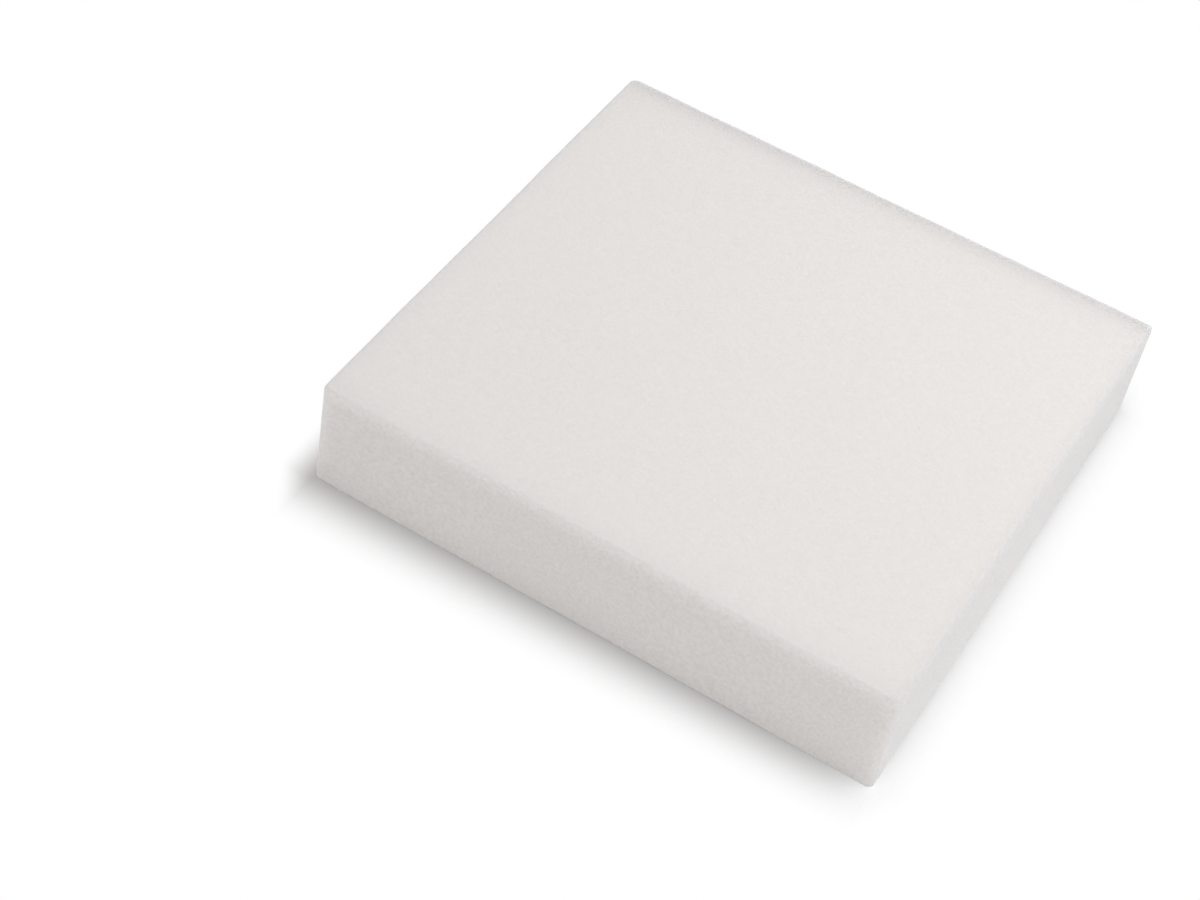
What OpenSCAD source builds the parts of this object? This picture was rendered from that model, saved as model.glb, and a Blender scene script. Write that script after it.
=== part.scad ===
// Felting pad: one block of soft open-cell foam that a felting needle is worked
// into. It is sawn from a sheet of even thickness, so the working face and the
// underside are flat and parallel, the four sides stand square to them, and the
// long edges and the upright corners are left faintly soft.
//
// X runs along the length, Y from the front side to the back, Z up through the
// thickness. The origin is the middle of the underside, which the pad lies on.

/* [Block] */
// Length, from the left end to the right end
pad_length = 150; // [60:1:400]
// Width, from the front side to the back side
pad_width = 145; // [60:1:400]
// Thickness of the foam sheet
thickness = 30.5; // [10:0.5:100]

/* [Softened edges] */
// Radius of the four upright corners
corner_radius = 1.6; // [1.6:0.1:20]
// Radius of the edge that runs round the working face
top_edge_radius = 1.2; // [0.2:0.1:1.5]
// Radius of the edge that runs round the underside
bottom_edge_radius = 0.5; // [0.2:0.1:1.5]

/* [Finish] */
// Colour of the foam
foam_colour = "#ebe7e4"; // [#ebe7e4:Off-white, #eda3c6:Pink, #9a9a98:Grey]

/* [Hidden] */

$fn = 96;

// Height at which the upright wall turns in to the working face
wall_top = thickness - top_edge_radius;
// Where the centres of the upright corners stand
corner_x = pad_length / 2 - corner_radius;
corner_y = pad_width / 2 - corner_radius;

// A quarter of a disc, in the corner between +X and +Y
module quarter_disc(radius) {
    intersection() {
        circle(r = radius);
        square(radius);
    }
}

// Section from an upright axis out to a sawn wall: X is the distance from the
// axis, Y the height, with the wall's two ends rolled in to the flat faces
module half_section(reach) {
    translate([0, bottom_edge_radius])
        square([reach, wall_top - bottom_edge_radius]);
    square([reach - bottom_edge_radius, thickness / 2]);
    translate([0, thickness / 2])
        square([reach - top_edge_radius, thickness / 2]);
    translate([reach - bottom_edge_radius, bottom_edge_radius])
        mirror([0, 1])
            quarter_disc(bottom_edge_radius);
    translate([reach - top_edge_radius, wall_top])
        quarter_disc(top_edge_radius);
}

// A straight run of the pad along +X, centred on the origin, with sawn walls
// at `reach` to either side
module straight_run(run, reach) {
    translate([-run / 2, 0, 0])
        rotate([90, 0, 90])
            linear_extrude(run) {
                half_section(reach);
                mirror([1, 0])
                    half_section(reach);
            }
}

// One upright corner: the section turned a quarter round its axis, +X to +Y
module corner_round() {
    rotate_extrude(angle = 90)
        half_section(corner_radius);
}

// Two straight runs cross to make the four walls, and a round fills each corner
module foam_pad() {
    color(foam_colour) {
        straight_run(2 * corner_x, pad_width / 2);
        rotate([0, 0, 90])
            straight_run(2 * corner_y, pad_length / 2);
        for (x = [-1, 1], y = [-1, 1])
            translate([x * corner_x, y * corner_y, 0])
                rotate([0, 0, atan2(y, x) - 45])
                    corner_round();
    }
}

foam_pad();
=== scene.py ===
"""Felting pad: one soft white block of open-cell foam, lying on a plain pale studio floor.

The foam is one closed shell. Rings of points follow the sawn outline, and each ring takes its inset and its
height from a section that runs from the working face, over the softened edge, down the wall and in under the
pad. The rings are close together along the edges, where the foam frays, and halve their points on the way in
to the plain faces. Everything is in metres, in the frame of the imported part.
"""

import math

import bpy
import numpy as np
from bpy.props import FloatProperty, FloatVectorProperty, PointerProperty
from bpy.types import Operator, Panel, PropertyGroup
from mathutils import Matrix, Vector


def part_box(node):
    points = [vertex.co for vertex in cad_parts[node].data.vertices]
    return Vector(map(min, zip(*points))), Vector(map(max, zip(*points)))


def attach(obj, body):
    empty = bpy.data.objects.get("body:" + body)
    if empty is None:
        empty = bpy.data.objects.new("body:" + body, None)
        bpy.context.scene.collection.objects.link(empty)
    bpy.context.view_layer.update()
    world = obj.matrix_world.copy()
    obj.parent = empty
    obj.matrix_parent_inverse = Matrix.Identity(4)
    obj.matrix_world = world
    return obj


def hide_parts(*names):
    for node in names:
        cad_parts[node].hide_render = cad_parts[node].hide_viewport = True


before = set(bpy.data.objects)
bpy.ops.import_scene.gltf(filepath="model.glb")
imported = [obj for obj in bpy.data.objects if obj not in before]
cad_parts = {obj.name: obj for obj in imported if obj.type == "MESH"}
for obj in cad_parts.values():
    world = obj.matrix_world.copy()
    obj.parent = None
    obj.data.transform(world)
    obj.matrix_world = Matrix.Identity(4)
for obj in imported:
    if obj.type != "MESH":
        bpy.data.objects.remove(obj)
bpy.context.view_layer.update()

bl_info = {
    "name": "Felting Pad",
    "version": (1, 0, 0),
    "blender": (4, 5, 0),
    "location": "3D View > Sidebar > Felting Pad",
    "description": "Cuts a foam felting pad and sets a plain studio round it",
    "category": "Add Mesh",
}

MM = 0.001
SEEN_FLOOR = 0.905  # how white the floor looks beside the pad, before it fades to plain white
PAINTED_CONTACT_SHADOW = 0.16  # painted contact shadow: how much less white the floor looks right where it meets the pad
PAD_LOW, PAD_HIGH = (np.array(corner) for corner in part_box("foam_pad"))
PAD_SIZE = PAD_HIGH - PAD_LOW
PAD_MIDDLE = (PAD_LOW + PAD_HIGH) / 2


def linear_colour(code):
    """An sRGB hex colour as the linear red, green and blue that shaders use."""
    parts = [int(code[k : k + 2], 16) / 255 for k in (1, 3, 5)]
    return tuple(p / 12.92 if p <= 0.04045 else ((p + 0.055) / 1.055) ** 2.4 for p in parts)


# ---------------------------------------------------------------- settings


class FoamPadSettings(PropertyGroup):
    """Sizes and colours of the foam block. Its length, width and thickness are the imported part's."""

    corner_radius: FloatVectorProperty(
        name="Corner radius",
        description="Radius of the front left, front right, back right and back left upright corner",
        default=(1.6 * MM, 1.6 * MM, 0.7 * MM, 2.2 * MM),
        size=4,
        min=0.5 * MM,
        unit="LENGTH",
        precision=4,
    )
    top_edge_radius: FloatProperty(
        name="Top edge radius",
        description="Radius of the edge round the working face",
        default=1.2 * MM,
        min=0.2 * MM,
        unit="LENGTH",
        precision=4,
    )
    bottom_edge_radius: FloatProperty(
        name="Bottom edge radius",
        description="Radius of the edge round the underside",
        default=0.25 * MM,
        min=0.2 * MM,
        unit="LENGTH",
        precision=4,
    )
    end_difference: FloatProperty(
        name="End difference",
        description="How much wider the saw left the right end than the left end",
        default=3.0 * MM,
        unit="LENGTH",
        precision=4,
    )
    fray: FloatProperty(
        name="Fray",
        description="How far torn cells stand out of, or are lost from, the edges",
        default=0.055 * MM,
        min=0.0,
        unit="LENGTH",
        precision=5,
    )
    edge_wear: FloatProperty(
        name="Edge wear",
        description="How far the edges are rubbed back in places",
        default=0.15 * MM,
        min=0.0,
        unit="LENGTH",
        precision=5,
    )
    saw_drift: FloatProperty(
        name="Saw drift",
        description="How far the sawn faces wander in and out",
        default=0.12 * MM,
        min=0.0,
        unit="LENGTH",
        precision=5,
    )
    cell_size: FloatProperty(
        name="Cell size",
        description="Width of one foam cell, drawn twice as coarse as real foam so that it still shows",
        default=0.75 * MM,
        min=0.1 * MM,
        unit="LENGTH",
        precision=5,
    )
    cell_depth: FloatProperty(
        name="Cell depth",
        description="How deep the cut-open cells look",
        default=0.03 * MM,
        min=0.0,
        unit="LENGTH",
        precision=5,
    )
    light_reach: FloatProperty(
        name="Light reach",
        description="How far light spreads inside the foam",
        default=5.5 * MM,
        min=0.0,
        unit="LENGTH",
        precision=4,
    )
    # leak share, depth and drop shape a painted shade: the working face's colour is darkened near its edges,
    # standing in for light lost through the sides
    leak_share: FloatVectorProperty(
        name="Leak share",
        description="How strongly the working face loses light through the front, right, back and left side",
        default=(0.62, 1.13, 1.9, 0.70),
        size=4,
        min=0.0,
    )
    leak_depth: FloatVectorProperty(
        name="Leak depth",
        description="How far in from the front, right, back and left side that loss reaches",
        default=(2.8 * MM, 1.45 * MM, 2.7 * MM, 2.2 * MM),
        size=4,
        min=0.1 * MM,
        unit="LENGTH",
        precision=4,
    )
    leak_drop: FloatVectorProperty(
        name="Leak drop",
        description="How far down the front, right, back and left side that loss reaches",
        default=(0.7 * MM, 0.92 * MM, 1.1 * MM, 1.0 * MM),
        size=4,
        min=0.1 * MM,
        unit="LENGTH",
        precision=4,
    )
    # partly the foam's own grain colour and partly a painted highlight, where the cell edges catch light
    strut_colour_and_highlight: FloatVectorProperty(
        name="Strut colour",
        description="Colour of the foam's cell edges, which catch the light",
        default=linear_colour("#eae6e4"),
        min=0.0,
        max=1.0,
        subtype="COLOR",
    )
    # partly the foam's own grain colour and partly painted shade in the cut-open cells
    pore_colour_and_shade: FloatVectorProperty(
        name="Pore colour",
        description="Colour of the cut-open cells between them",
        default=linear_colour("#e2dedb"),
        min=0.0,
        max=1.0,
        subtype="COLOR",
    )
    # painted shade: the colour that the working face is darkened to at its edges, for light leaking out of
    # the sides
    painted_edge_shade_colour: FloatVectorProperty(
        name="Edge colour",
        description="Colour of the working face right at its edges, where light leaks out of the sides",
        default=linear_colour("#cfcccc"),
        min=0.0,
        max=1.0,
        subtype="COLOR",
    )


class StudioSettings(PropertyGroup):
    """The floor, the lamps and the camera round the pad."""

    camera_azimuth: FloatProperty(
        name="Camera azimuth",
        description="Direction of the camera round the pad, from the front towards the right",
        default=math.radians(21.98),
        subtype="ANGLE",
    )
    camera_elevation: FloatProperty(
        name="Camera elevation",
        description="Height of the camera above the horizon",
        default=math.radians(46.42),
        subtype="ANGLE",
    )
    camera_roll: FloatProperty(
        name="Camera roll",
        description="Turn of the camera about its own line of sight, anticlockwise",
        default=math.radians(11.66),
        subtype="ANGLE",
    )
    camera_distance: FloatProperty(
        name="Camera distance",
        description="From the camera to the point that it is aimed at",
        default=614.8 * MM,
        min=0.1,
        unit="LENGTH",
    )
    camera_aim: FloatVectorProperty(
        name="Camera aim",
        description="Point that the camera is aimed at, from the middle of the pad",
        default=(-19.5 * MM, -35.8 * MM, 0.0),
        subtype="TRANSLATION",
        unit="LENGTH",
    )
    lens: FloatProperty(
        name="Lens",
        description="Focal length in millimetres on a 36 mm sensor",
        default=78.53,
        min=10.0,
    )
    key_power: FloatProperty(
        name="Key power",
        description="Power in watts of the softbox behind the pad on the right",
        default=1.44,
        min=0.0,
    )
    fill_power: FloatProperty(
        name="Fill power",
        description="Power in watts of the softbox in front of the pad",
        default=1.16,
        min=0.0,
    )
    room_light: FloatProperty(
        name="Room light",
        description="Strength of the even light from the white room",
        default=0.669,
        min=0.0,
    )
    room_left: FloatVectorProperty(
        name="Room left",
        description="Colour of the room's light from the left",
        default=linear_colour("#fffaf5"),
        min=0.0,
        max=1.0,
        subtype="COLOR",
    )
    room_right: FloatVectorProperty(
        name="Room right",
        description="Colour of the room's light from the right, where it is a little cooler",
        default=linear_colour("#f5faff"),
        min=0.0,
        max=1.0,
        subtype="COLOR",
    )
    floor_colour: FloatVectorProperty(
        name="Floor colour",
        description="Colour of the pale floor",
        default=linear_colour("#f4f4f4"),
        min=0.0,
        max=1.0,
        subtype="COLOR",
    )


# ---------------------------------------------------------------- shape


def soft_noise(points, grain, seed):
    """Smooth random numbers from -1 to 1.

    Space is cut into cubes `grain` wide and each cube corner gets a random number from a table. Its place in
    the table comes from its three whole-number coordinates, each times a large prime, mixed bit by bit. A
    point blends the eight corners round it, each weighed by 3t^2 - 2t^3 of how near it lies along each axis.
    """
    table_length, primes = 8192, (73856093, 19349663, 83492791)
    table = np.random.default_rng(seed).uniform(-1.0, 1.0, table_length)
    scaled = points / grain
    base = np.floor(scaled).astype(np.int64)
    along = scaled - base
    along = along * along * (3.0 - 2.0 * along)
    total = np.zeros(len(points))
    for corner in np.ndindex(2, 2, 2):
        place = (base + corner) * primes
        key = place[:, 0] ^ place[:, 1] ^ place[:, 2]
        weight = np.prod(np.where(corner, along, 1.0 - along), axis=1)
        total += weight * table[key % table_length]
    return total


def plan_ring(steps, inset, radii):
    """A closed ring round the plan, anticlockwise from the middle of the front left corner.

    Along each side the travel runs from the middle of one corner to the middle of the next, and is 0 in the
    middle of the side. Its part on the straight moves the point along it, and what is left over, divided by
    that corner's own radius, is the angle turned round the corner. Points crowd towards the corners by a
    sine of the share travelled. Returns the points in the plan and the outward direction at each.
    """
    crowding = 0.35
    half_length, half_width = PAD_SIZE[:2] / 2 - inset
    sides = ((half_length, half_width, steps[0]), (half_width, half_length, steps[1])) * 2
    points, outward = [], []
    for quarter, (half_run, away, count) in enumerate(sides):
        share = np.arange(count) / count
        share = share - crowding * np.sin(2 * np.pi * share) / (2 * np.pi)
        first, last = radii[quarter], radii[(quarter + 1) % len(sides)]
        start, end = first - half_run, half_run - last
        travel = (1 - share) * (start - first * np.pi / 4) + share * (end + last * np.pi / 4)
        on_straight = np.clip(travel, start, end)
        radius = np.where(travel < 0, first, last)
        turned = (travel - on_straight) / radius
        facing = np.stack([np.sin(turned), -np.cos(turned)], axis=1)
        centre = np.stack([on_straight, radius - away], axis=1)
        quarter_turn = np.linalg.matrix_power(np.array([[0, 1], [-1, 0]]), quarter)
        points.append((centre + radius[:, None] * facing) @ quarter_turn)
        outward.append(facing @ quarter_turn)
    return np.concatenate(points), np.concatenate(outward)


def section_stations(pad):
    """The section's stations from the working face to the underside: inset, height, tilt and halvings.

    On a flat face or wall the gap between stations grows by a fixed ratio away from the edge, and the
    points in a ring halve as the gap doubles. Round an edge the tilt of the surface turns evenly from
    flat to upright, and inset and height follow the edge's own circle. The underside leaves out the
    station nearest its edge.
    """
    thickness = PAD_SIZE[2]
    top, bottom = pad.top_edge_radius, pad.bottom_edge_radius
    first_gap, growth = 0.26 * MM, 1.36
    top_edge_rings, bottom_edge_rings, wall_end_rings, wall_middle_rings = 9, 7, 6, 11
    halvings = np.array([0, 0, 1, 1, 2, 2, 2, 3, 3])
    away = first_gap * (growth ** np.arange(1, len(halvings) + 1) - 1) / (growth - 1)
    near_edge = list(zip(away, halvings))

    rows = [(top + a, thickness, 0.0, h) for a, h in near_edge[::-1]]
    for tilt in np.linspace(0, np.pi / 2, top_edge_rings):
        rows.append((top * (1 - math.sin(tilt)), thickness - top * (1 - math.cos(tilt)), tilt, 0))

    on_wall = near_edge[:wall_end_rings]
    wall_top, wall_foot = thickness - top, bottom
    reach, coarse = on_wall[-1]
    rows += [(0.0, wall_top - a, np.pi / 2, h) for a, h in on_wall]
    for height in np.linspace(wall_top - reach, wall_foot + reach, wall_middle_rings + 2)[1:-1]:
        rows.append((0.0, height, np.pi / 2, coarse))
    rows += [(0.0, wall_foot + a, np.pi / 2, h) for a, h in on_wall[::-1]]

    for tilt in np.linspace(np.pi / 2, np.pi, bottom_edge_rings):
        rows.append((bottom * (1 - math.sin(tilt)), bottom * (1 + math.cos(tilt)), tilt, 0))
    rows += [(bottom + a, 0.0, np.pi, h) for a, h in near_edge[1:]]
    return rows


def strip_between(first, second):
    """Faces between two rings of point numbers, the first one inside or above the second.

    Equal rings are joined by quads. Where one ring has half the points of the other, each of its points
    takes two of the other's, with three triangles to each pair.
    """
    first_next, second_next = np.roll(first, -1), np.roll(second, -1)
    if len(first) == len(second):
        return [np.stack([first, second, second_next, first_next], axis=1)]
    if len(second) == 2 * len(first):
        even, odd, even_next = second[::2], second[1::2], second_next[1::2]
        return [
            np.stack([first, even, odd], axis=1),
            np.stack([first, odd, first_next], axis=1),
            np.stack([first_next, odd, even_next], axis=1),
        ]
    even, odd, even_next = first[::2], first[1::2], first_next[1::2]
    return [
        np.stack([even, second, odd], axis=1),
        np.stack([odd, second, second_next], axis=1),
        np.stack([odd, second_next, even_next], axis=1),
    ]


def filled_ring(points, ring, steps, first_new, upward):
    """A grid that fills the inside of a ring, and its faces.

    The ring's four sides are blended: each inner point is the mean of its two places on lines drawn
    between opposite sides, less its place on the flat patch between the four corners.
    """
    across, deep = steps
    corners = np.cumsum([0, across, deep, across])
    front = ring[corners[0] : corners[1] + 1]
    right = ring[corners[1] : corners[2] + 1]
    back = ring[corners[2] : corners[3] + 1][::-1]
    left = np.append(ring[corners[3] :], ring[0])[::-1]
    u = np.linspace(0, 1, across + 1)[None, :, None]
    v = np.linspace(0, 1, deep + 1)[:, None, None]
    rows = (1 - v) * points[front][None] + v * points[back][None]
    columns = (1 - u) * points[left][:, None] + u * points[right][:, None]
    patch = (1 - v) * ((1 - u) * points[front[0]] + u * points[front[-1]])
    patch = patch + v * ((1 - u) * points[back[0]] + u * points[back[-1]])
    inner = (rows + columns - patch)[1:-1, 1:-1]

    numbers = np.empty((deep + 1, across + 1), dtype=np.int64)
    numbers[0], numbers[-1], numbers[:, 0], numbers[:, -1] = front, back, left, right
    numbers[1:-1, 1:-1] = first_new + np.arange(inner.shape[0] * inner.shape[1]).reshape(inner.shape[:2])
    faces = np.stack([numbers[:-1, :-1], numbers[:-1, 1:], numbers[1:, 1:], numbers[1:, :-1]], axis=-1)
    faces = faces.reshape(-1, 4)
    return inner.reshape(-1, 3), faces if upward else faces[:, ::-1]


def foam_shell(pad):
    """The block's true surface as points, outward directions and faces, before the foam frays.

    Each station of the section is a ring round the plan, with `around` steps along each long and each short
    side before any halvings. A ring's corner radii shrink by its inset, down to `tightest`, and open again
    further in, by the share `opening` of how far the inset is past the corner.
    """
    around, tightest, opening = np.array([608, 584]), 0.4 * MM, 0.5
    corner_radii = np.array(pad.corner_radius)
    stations = section_stations(pad)
    points, outward, faces, rings = [], [], [], []
    count = 0
    for inset, height, tilt, halvings in stations:
        shrunk = np.maximum(corner_radii - inset, tightest)
        radii = shrunk + opening * np.maximum(inset - corner_radii, 0.0)
        plan, facing = plan_ring(around // 2**halvings, inset, radii)
        points.append(np.column_stack([plan, np.full(len(plan), height)]))
        outward.append(np.column_stack([facing * math.sin(tilt), np.full(len(plan), math.cos(tilt))]))
        rings.append(np.arange(count, count + len(plan)))
        count += len(plan)
    for first, second in zip(rings[:-1], rings[1:]):
        faces += strip_between(first, second)
    points, outward = np.concatenate(points), np.concatenate(outward)
    most_halvings = stations[-1][3]
    coarse = around // 2**most_halvings
    for ring, upward in ((rings[0], True), (rings[-1], False)):
        inner, inner_faces = filled_ring(points, ring, coarse, len(points), upward)
        points = np.concatenate([points, inner])
        outward = np.concatenate([outward, np.tile((0.0, 0.0, 1.0 if upward else -1.0), (len(inner), 1))])
        faces.append(inner_faces)
    return points, outward, faces


def sawn_and_frayed(points, outward, pad):
    """Moves each point in or out along its outward direction, as the saw and handling leave the foam.

    The nearest edge of the block is as far away as the middle one of the point's three depths behind the
    block's faces. The fray and the wear fade by e to the minus of how many `edge_band` away that edge is.
    The fray is noise as fine as cells and tufts. The wear comes in patches and grows with the height. Slow
    ripples and a slower bow move the sawn faces. The block then widens evenly from its left end to its right
    end, and no point goes below the floor.
    """
    cell, tuft, patch, ripple, bow = 0.5 * MM, 1.2 * MM, 9 * MM, 13 * MM, 38 * MM
    edge_band, tuft_share, usual_wear, patchiness, bow_share = 1.1 * MM, 0.7, 0.5, 0.9, 0.6
    half_plan = PAD_SIZE[:2] / 2
    behind_sides = half_plan - np.abs(points[:, :2])
    behind_faces = np.minimum(points[:, 2], PAD_SIZE[2] - points[:, 2])
    from_edge = np.sort(np.column_stack([behind_sides, behind_faces]), axis=1)[:, 1]
    at_edge = np.exp(-np.maximum(from_edge, 0.0) / edge_band)
    fine = soft_noise(points, cell, 11) + tuft_share * soft_noise(points, tuft, 12)
    worn = np.clip(usual_wear + patchiness * soft_noise(points, patch, 13), 0.0, 1.0)
    wear = worn * points[:, 2] / PAD_SIZE[2]
    drift = bow_share * soft_noise(points, bow, 14) + (1 - bow_share) * soft_noise(points, ripple, 15)
    out = pad.fray * at_edge * fine - pad.edge_wear * at_edge * wear + pad.saw_drift * drift
    moved = points + outward * out[:, None]
    share_along = moved[:, 0] / PAD_SIZE[0]
    moved[:, 1] *= 1 + share_along * pad.end_difference / PAD_SIZE[1]
    moved[:, 2] = np.maximum(moved[:, 2], 0.0)
    return moved


def painted_edge_shade(points, pad):
    """How much painted shade each point gets, from 0 to 1, for the light it loses through the sides near it.

    On the working face, the loss to one side is that side's share times e to the minus of how many leak
    depths the side is away. It fades with the square of how many leak drops the point lies below the face,
    since light comes in again down the sides. Within about a `skin` of it, the right side loses light
    through the back as well: `back_share` times e to the minus of the square of how many `back_depth` away
    the back is, times the square root of how far down the side the point lies, as a share of its height.
    What is kept from each side multiplies.
    """
    back_share, back_depth, skin = 0.3, 45 * MM, 1 * MM
    half_length, half_width = PAD_SIZE[:2] / 2
    x, y = points[:, 0], points[:, 1]
    in_from = np.column_stack([half_width + y, half_length - x, half_width - y, half_length + x])
    below = PAD_SIZE[2] - points[:, 2:]
    lost = np.array(pad.leak_share) * np.exp(-in_from / np.array(pad.leak_depth))
    lost = np.clip(lost, 0.0, 1.0) * np.exp(-((below / np.array(pad.leak_drop)) ** 2))
    from_right, from_back = in_from[:, 1], in_from[:, 2]
    through_back = back_share * np.exp(-((from_back / back_depth) ** 2) - from_right / skin)
    through_back *= np.sqrt(np.clip(below[:, 0] / PAD_SIZE[2], 0.0, 1.0))
    return 1.0 - (1.0 - through_back) * np.prod(1.0 - lost, axis=1)


def reach_share(points):
    """The share of the light reach that each point has, from 0 to 1.

    It climbs in a straight line from `at_foot` on the floor, which holds the light in, to all of it about
    `clear` above the floor. Towards the right side, which is lit as brightly as the working face, it loses
    the share `side_loss`, by e to the minus of how many `fade` the side is away.
    """
    at_foot, clear, side_loss, fade = 0.02, 10 * MM, 0.5, 2 * MM
    up = np.clip(at_foot + points[:, 2] / clear, 0.0, 1.0)
    return up * (1.0 - side_loss * np.exp(-(PAD_SIZE[0] / 2 - points[:, 0]) / fade))


def new_piece(name, points, faces, material, values=None):
    """Puts computed points and faces, with named numbers at each point, into a smooth-shaded object."""
    mesh = bpy.data.meshes.new(name)
    mesh.from_pydata(points.tolist(), [], [face for group in faces for face in group.tolist()])
    for value_name, value in (values or {}).items():
        mesh.attributes.new(value_name, "FLOAT", "POINT").data.foreach_set("value", value)
    mesh.materials.append(material)
    mesh.shade_smooth()
    mesh.update()
    piece = bpy.data.objects.new(name, mesh)
    bpy.context.scene.collection.objects.link(piece)
    return piece


# ---------------------------------------------------------------- materials


def add_node(tree, kind, settings=None, inputs=None):
    """Adds one node, sets its own settings, and gives each named input a value or a link."""
    node = tree.nodes.new(kind)
    for name, value in (settings or {}).items():
        setattr(node, name, value)
    for socket, value in (inputs or {}).items():
        if isinstance(value, bpy.types.NodeSocket):
            tree.links.new(value, node.inputs[socket])
        else:
            node.inputs[socket].default_value = value
    return node


def new_material(name):
    """An empty node material and its tree."""
    material = bpy.data.materials.new(name)
    material.use_nodes = True
    material.node_tree.nodes.clear()
    return material, material.node_tree


def polyurethane_foam(pad):
    """Open-cell polyurethane foam, knife-sawn: dead matt, with a fine even grain of cut-open cells.

    Light spreads several millimetres inside it, so shading is soft. Along the edges it leaks out, and that
    is painted into the colour as shade, so the edges look a little darker. Real cells are 0.3 to 0.4 mm
    wide, and they are drawn twice as wide, since finer ones wouldn't show. The grain is the struts between
    the cells, soft clumps about a cell wide, and here and there a torn fleck that stands up or lies deep.
    The struts are painted a little lighter and the cut-open cells a little darker, partly the foam's own
    grain and partly painted highlight and shade. A fleck's strength is a random number from -1 to 1 to the
    power of `rarity`, so few are strong. The grain shows more on the sides than on the flat faces.
    """
    strut_width, clumps_per_cell, flecks_per_cell = 0.35, 0.85, 0.3
    fleck_middle, fleck_rim, rarity = 0.05, 0.20, 5.0
    clump_height, fleck_height, side_depth = 5.0, 2.0, 1.5
    darkest_clump, lightest_clump, strut_tone, fleck_tone = -0.8, 0.7, 0.25, 1.5
    face_contrast, side_contrast, middle_tone = 0.4, 1.1, 0.5
    material, tree = new_material("open_cell_polyurethane_foam")
    place = add_node(tree, "ShaderNodeTexCoord").outputs["Object"]
    side = add_node(tree, "ShaderNodeAttribute", {"attribute_name": "sawn_side"}).outputs["Fac"]
    cells = add_node(
        tree,
        "ShaderNodeTexVoronoi",
        {"feature": "DISTANCE_TO_EDGE"},
        {"Vector": place, "Scale": 1 / pad.cell_size},
    )
    struts = add_node(
        tree,
        "ShaderNodeMapRange",
        {"interpolation_type": "SMOOTHSTEP"},
        {"Value": cells.outputs["Distance"], "From Max": strut_width, "To Min": 1.0, "To Max": 0.0},
    )
    clumps = add_node(
        tree,
        "ShaderNodeTexNoise",
        None,
        {"Vector": place, "Scale": clumps_per_cell / pad.cell_size, "Detail": 0.0},
    )
    flecks = add_node(
        tree,
        "ShaderNodeTexVoronoi",
        {"feature": "F1"},
        {"Vector": place, "Scale": flecks_per_cell / pad.cell_size},
    )
    fleck = add_node(
        tree,
        "ShaderNodeMapRange",
        {"interpolation_type": "SMOOTHSTEP"},
        {
            "Value": flecks.outputs["Distance"],
            "From Min": fleck_middle,
            "From Max": fleck_rim,
            "To Min": 1.0,
            "To Max": 0.0,
        },
    )
    chance = add_node(tree, "ShaderNodeSeparateColor", None, {"Color": flecks.outputs["Color"]})
    sign = add_node(
        tree, "ShaderNodeMapRange", None, {"Value": chance.outputs["Red"], "To Min": -1.0, "To Max": 1.0}
    )
    rare = add_node(tree, "ShaderNodeMath", {"operation": "POWER"}, {0: sign.outputs["Result"], 1: rarity})
    mark = add_node(
        tree,
        "ShaderNodeMath",
        {"operation": "MULTIPLY"},
        {0: fleck.outputs["Result"], 1: rare.outputs["Value"]},
    )
    torn = add_node(
        tree,
        "ShaderNodeMath",
        {"operation": "MULTIPLY_ADD"},
        {0: clumps.outputs["Fac"], 1: clump_height, 2: struts.outputs["Result"]},
    )
    height = add_node(
        tree,
        "ShaderNodeMath",
        {"operation": "MULTIPLY_ADD"},
        {0: mark.outputs["Value"], 1: fleck_height, 2: torn.outputs["Value"]},
    )
    depth = add_node(
        tree,
        "ShaderNodeMapRange",
        None,
        {"Value": side, "To Min": pad.cell_depth, "To Max": side_depth * pad.cell_depth},
    )
    relief = add_node(
        tree,
        "ShaderNodeBump",
        None,
        {"Height": height.outputs["Value"], "Strength": 0.8, "Distance": depth.outputs["Result"]},
    )
    uneven = add_node(
        tree,
        "ShaderNodeMapRange",
        {"clamp": False},
        {"Value": clumps.outputs["Fac"], "To Min": darkest_clump, "To Max": lightest_clump},
    )
    grainy = add_node(
        tree,
        "ShaderNodeMath",
        {"operation": "MULTIPLY_ADD"},
        {0: struts.outputs["Result"], 1: strut_tone, 2: uneven.outputs["Result"]},
    )
    flecked = add_node(
        tree,
        "ShaderNodeMath",
        {"operation": "MULTIPLY_ADD"},
        {0: mark.outputs["Value"], 1: fleck_tone, 2: grainy.outputs["Value"]},
    )
    contrast = add_node(
        tree, "ShaderNodeMapRange", None, {"Value": side, "To Min": face_contrast, "To Max": side_contrast}
    )
    tone = add_node(
        tree,
        "ShaderNodeMath",
        {"operation": "MULTIPLY_ADD", "use_clamp": True},
        {0: flecked.outputs["Value"], 1: contrast.outputs["Result"], 2: middle_tone},
    )
    # mixes pore and strut colours: the foam's grain, with painted shade in the cells and painted highlight
    # on the struts
    grain = add_node(
        tree,
        "ShaderNodeMix",
        {"data_type": "RGBA"},
        {"Factor": tone.outputs["Value"], 6: (*pad.pore_colour_and_shade, 1.0), 7: (*pad.strut_colour_and_highlight, 1.0)},
    )
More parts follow.
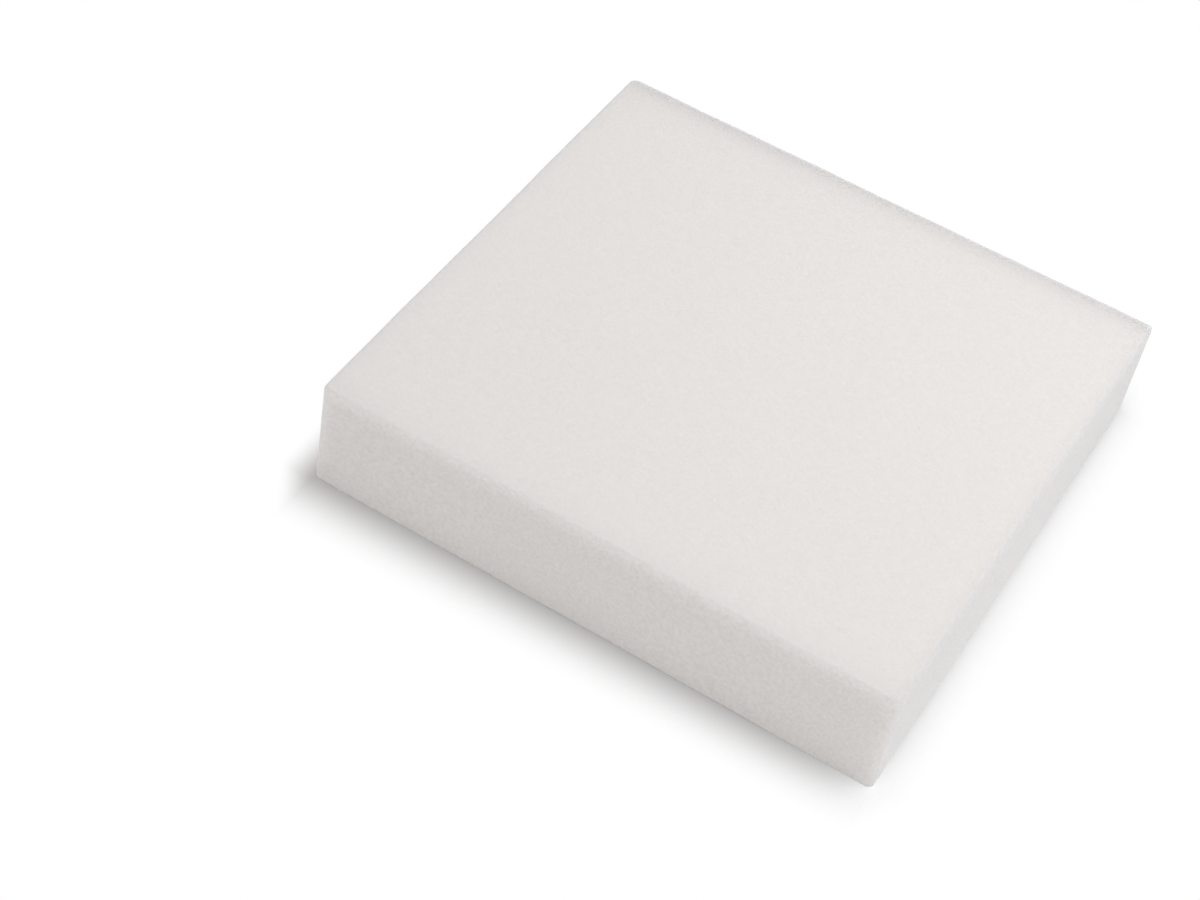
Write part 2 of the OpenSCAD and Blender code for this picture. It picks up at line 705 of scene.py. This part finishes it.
    # painted shade: darkens the colour near the working face's edges, standing in for light leaking out of
    # the sides
    painted_shade = add_node(tree, "ShaderNodeAttribute", {"attribute_name": "painted_edge_shade"})
    colour = add_node(
        tree,
        "ShaderNodeMix",
        {"data_type": "RGBA"},
        {"Factor": painted_shade.outputs["Fac"], 6: grain.outputs[2], 7: (*pad.painted_edge_shade_colour, 1.0)},
    )
    share = add_node(tree, "ShaderNodeAttribute", {"attribute_name": "reach_share"})
    reach = add_node(
        tree, "ShaderNodeMath", {"operation": "MULTIPLY"}, {0: share.outputs["Fac"], 1: pad.light_reach}
    )
    foam = add_node(
        tree,
        "ShaderNodeBsdfPrincipled",
        {"subsurface_method": "RANDOM_WALK"},
        {
            "Base Color": colour.outputs[2],
            "Roughness": 0.95,
            "Specular IOR Level": 0.15,
            "Subsurface Weight": 1.0,
            "Subsurface Radius": (1.0, 1.0, 1.0),
            "Subsurface Scale": reach.outputs["Value"],
            "Normal": relief.outputs["Normal"],
        },
    )
    add_node(tree, "ShaderNodeOutputMaterial", None, {"Surface": foam.outputs["BSDF"]})
    return material


def seen_directly(tree):
    """1 where a ray from the camera, a reflection or clear material meets the surface, or else 0."""
    path = add_node(tree, "ShaderNodeLightPath").outputs
    either = add_node(
        tree,
        "ShaderNodeMath",
        {"operation": "MAXIMUM"},
        {0: path["Is Glossy Ray"], 1: path["Is Transmission Ray"]},
    )
    seen = add_node(
        tree,
        "ShaderNodeMath",
        {"operation": "MAXIMUM"},
        {0: path["Is Camera Ray"], 1: either.outputs["Value"]},
    )
    return seen.outputs["Value"]


def studio_floor_paint(studio):
    """Matt white studio floor. It holds the pad's soft shadow and fades to plain white further out.

    The floor's seen colour is darkened where it meets the pad, a painted contact shadow, by e to the minus
    of how many `touch_depth` away it is. It fades to white by a smooth step over `fade_length`. Both are
    quicker past the pad's ends than past its front and back, by `end_quickness`. At the front right corner
    the shadow is painted open, whiter, as if light came in from both sides, by `corner_share` times e to the
    minus of how many `corner_depth` away it is.
    """
    end_quickness, touch_depth, fade_length = 1.75, 3.2 * MM, 16 * MM
    corner_share, corner_depth = 0.87, 6.2 * MM
    material, tree = new_material("matt_white_studio_floor")
    seen = seen_directly(tree)
    place = add_node(tree, "ShaderNodeTexCoord").outputs["Object"]
    half_plan = (*(PAD_SIZE[:2] / 2), 0.0)
    either_side = add_node(tree, "ShaderNodeVectorMath", {"operation": "ABSOLUTE"}, {0: place}).outputs[0]
    beyond = add_node(
        tree, "ShaderNodeVectorMath", {"operation": "SUBTRACT"}, {0: either_side, 1: half_plan}
    )
    outside = add_node(
        tree, "ShaderNodeVectorMath", {"operation": "MAXIMUM"}, {0: beyond.outputs[0], 1: (0.0, 0.0, 0.0)}
    )
    away = add_node(
        tree,
        "ShaderNodeVectorMath",
        {"operation": "DOT_PRODUCT"},
        {0: outside.outputs[0], 1: (end_quickness, 1.0, 0.0)},
    ).outputs["Value"]
    # painted contact shadow: the floor's seen colour is darkened where it meets the pad
    depths_out = add_node(tree, "ShaderNodeMath", {"operation": "DIVIDE"}, {0: away, 1: -touch_depth})
    contact_shadow = add_node(tree, "ShaderNodeMath", {"operation": "EXPONENT"}, {0: depths_out.outputs["Value"]})
    shaded = add_node(
        tree,
        "ShaderNodeMath",
        {"operation": "MULTIPLY_ADD"},
        {0: contact_shadow.outputs["Value"], 1: -PAINTED_CONTACT_SHADOW, 2: SEEN_FLOOR},
    )
    held = add_node(
        tree,
        "ShaderNodeMapRange",
        {"interpolation_type": "SMOOTHSTEP"},
        {"Value": away, "From Min": 0.0, "From Max": fade_length, "To Min": 1.0, "To Max": 0.0},
    )
    # painted light: the floor is whitened near the front right corner, opening the shadow there
    lit_corner = add_node(
        tree,
        "ShaderNodeVectorMath",
        {"operation": "DISTANCE"},
        {0: place, 1: (half_plan[0], -half_plan[1], 0.0)},
    )
    depths_round = add_node(
        tree, "ShaderNodeMath", {"operation": "DIVIDE"}, {0: lit_corner.outputs["Value"], 1: -corner_depth}
    )
    painted_corner_light = add_node(tree, "ShaderNodeMath", {"operation": "EXPONENT"}, {0: depths_round.outputs["Value"]})
    closed = add_node(
        tree,
        "ShaderNodeMath",
        {"operation": "MULTIPLY_ADD"},
        {0: painted_corner_light.outputs["Value"], 1: -corner_share, 2: 1.0},
    )
    holding = add_node(
        tree,
        "ShaderNodeMath",
        {"operation": "MULTIPLY"},
        {0: held.outputs["Result"], 1: closed.outputs["Value"]},
    )
    far = add_node(tree, "ShaderNodeMath", {"operation": "SUBTRACT"}, {0: 1.0, 1: holding.outputs["Value"]})
    tone = add_node(
        tree,
        "ShaderNodeMix",
        {"data_type": "RGBA", "clamp_factor": True},
        {"Factor": seen, 6: (*studio.floor_colour, 1.0), 7: shaded.outputs["Value"]},
    )
    paint = add_node(tree, "ShaderNodeBsdfDiffuse", None, {"Color": tone.outputs[2]})
    white = add_node(tree, "ShaderNodeEmission", None, {"Strength": 1.0})
    fade = add_node(tree, "ShaderNodeMath", {"operation": "MULTIPLY"}, {0: seen, 1: far.outputs["Value"]})
    mixed = add_node(
        tree,
        "ShaderNodeMixShader",
        None,
        {0: fade.outputs["Value"], 1: paint.outputs["BSDF"], 2: white.outputs["Emission"]},
    )
    add_node(tree, "ShaderNodeOutputMaterial", None, {"Surface": mixed.outputs["Shader"]})
    return material


# ---------------------------------------------------------------- studio


def orbit_matrix(aim, azimuth, elevation, distance, roll=0.0):
    """Where a camera or lamp stands and how it is turned, to look at `aim` from that direction.

    Azimuth runs from the front towards the right, and elevation from the horizon upwards.
    """
    turn = Matrix.Rotation(azimuth, 4, "Z") @ Matrix.Rotation(math.pi / 2 - elevation, 4, "X")
    back = turn.to_3x3() @ Vector((0, 0, distance))
    return Matrix.Translation(Vector(aim) + back) @ turn @ Matrix.Rotation(roll, 4, "Z")


def add_softbox(name, azimuth, elevation, distance, width, power):
    """A square area lamp that looks at the middle of the pad. Its two angles are in degrees."""
    lamp = bpy.data.lights.new(name, "AREA")
    lamp.shape = "SQUARE"
    lamp.size = width
    lamp.energy = power
    holder = bpy.data.objects.new(name, lamp)
    holder.visible_camera = False
    holder.matrix_world = orbit_matrix(PAD_MIDDLE, math.radians(azimuth), math.radians(elevation), distance)
    bpy.context.scene.collection.objects.link(holder)
    return holder


def add_room(studio):
    """The world: soft light from a white room, and plain white where it is seen.

    The light is a little cooler on the right. Its colour changes evenly with how far to the right it
    comes from.
    """
    world = bpy.data.worlds.new("white_room")
    world.use_nodes = True
    tree = world.node_tree
    tree.nodes.clear()
    seen = seen_directly(tree)
    strength = add_node(
        tree, "ShaderNodeMapRange", None, {"Value": seen, "To Min": studio.room_light, "To Max": 1.0}
    )
    direction = add_node(tree, "ShaderNodeTexCoord").outputs["Generated"]
    rightward = add_node(tree, "ShaderNodeSeparateXYZ", None, {"Vector": direction}).outputs["X"]
    side = add_node(tree, "ShaderNodeMapRange", None, {"Value": rightward, "From Min": -1.0})
    room = add_node(
        tree,
        "ShaderNodeMix",
        {"data_type": "RGBA"},
        {"Factor": side.outputs["Result"], 6: (*studio.room_left, 1.0), 7: (*studio.room_right, 1.0)},
    )
    colour = add_node(
        tree,
        "ShaderNodeMix",
        {"data_type": "RGBA"},
        {"Factor": seen, 6: room.outputs[2], 7: (1.0, 1.0, 1.0, 1.0)},
    )
    light = add_node(
        tree,
        "ShaderNodeBackground",
        None,
        {"Color": colour.outputs[2], "Strength": strength.outputs["Result"]},
    )
    add_node(tree, "ShaderNodeOutputWorld", None, {"Surface": light.outputs["Background"]})
    bpy.context.scene.world = world


def add_floor(studio):
    """A flat square floor that the pad lies on."""
    half = 6.0
    corners = np.array([(-half, -half, 0.0), (half, -half, 0.0), (half, half, 0.0), (-half, half, 0.0)])
    floor = new_piece("studio_floor", corners, [np.array([(0, 1, 2, 3)])], studio_floor_paint(studio))
    return floor


def add_camera(studio):
    """The camera, at the height and angle that shows the working face and two sides."""
    lens = bpy.data.cameras.new("studio_camera")
    lens.lens = studio.lens
    lens.sensor_width = 36.0
    lens.clip_start = 0.01
    lens.clip_end = 50.0
    camera = bpy.data.objects.new("studio_camera", lens)
    aim = Vector(PAD_MIDDLE) + Vector(studio.camera_aim)
    camera.matrix_world = orbit_matrix(
        aim, studio.camera_azimuth, studio.camera_elevation, studio.camera_distance, studio.camera_roll
    )
    bpy.context.scene.collection.objects.link(camera)
    bpy.context.scene.camera = camera


# ---------------------------------------------------------------- operators


class FELTPAD_OT_cut_foam(Operator):
    """Cut the foam block, fray its edges and give it its foam finish"""

    bl_idname = "felting_pad.cut_foam"
    bl_label = "Cut Foam Pad"

    def execute(self, context):
        pad = context.scene.felting_pad
        points, outward, faces = foam_shell(pad)
        values = {
            # painted shade near the edges, standing in for light lost through the sides
            "painted_edge_shade": painted_edge_shade(points, pad),
            "reach_share": reach_share(points),
            "sawn_side": 1.0 - np.abs(outward[:, 2]),
        }
        points = sawn_and_frayed(points, outward, pad)
        block = new_piece("foam_block", points, faces, polyurethane_foam(pad), values)
        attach(block, "root")
        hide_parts("foam_pad")
        return {"FINISHED"}


class FELTPAD_OT_set_studio(Operator):
    """Set the white floor, the room light, the softboxes and the camera round the pad"""

    bl_idname = "felting_pad.set_studio"
    bl_label = "Set Studio"

    def execute(self, context):
        studio = context.scene.felting_studio
        add_floor(studio)
        add_room(studio)
        add_softbox(
            "key_softbox", azimuth=116, elevation=65, distance=0.6, width=0.3, power=studio.key_power
        )
        add_softbox(
            "fill_softbox", azimuth=10, elevation=20, distance=1.5, width=0.8, power=studio.fill_power
        )
        add_camera(studio)
        context.scene.view_settings.view_transform = "Standard"
        return {"FINISHED"}


class FELTPAD_PT_sidebar(Panel):
    """Lists the steps that make the pad and its studio"""

    bl_idname = "FELTPAD_PT_sidebar"
    bl_label = "Felting Pad"
    bl_space_type = "VIEW_3D"
    bl_region_type = "UI"
    bl_category = "Felting Pad"

    def draw(self, context):
        column = self.layout.column(align=True)
        column.operator(FELTPAD_OT_cut_foam.bl_idname)
        column.operator(FELTPAD_OT_set_studio.bl_idname)


CLASSES = (FoamPadSettings, StudioSettings, FELTPAD_OT_cut_foam, FELTPAD_OT_set_studio, FELTPAD_PT_sidebar)


def register():
    """Registers the classes and gives the scene its two groups of settings."""
    for cls in CLASSES:
        bpy.utils.register_class(cls)
    bpy.types.Scene.felting_pad = PointerProperty(type=FoamPadSettings)
    bpy.types.Scene.felting_studio = PointerProperty(type=StudioSettings)


def unregister():
    """Takes the settings and the classes away again."""
    del bpy.types.Scene.felting_studio
    del bpy.types.Scene.felting_pad
    for cls in reversed(CLASSES):
        bpy.utils.unregister_class(cls)


def main():
    """Makes the pad and its studio."""
    register()
    bpy.ops.felting_pad.cut_foam()
    bpy.ops.felting_pad.set_studio()


if __name__ == "__main__":
    main()
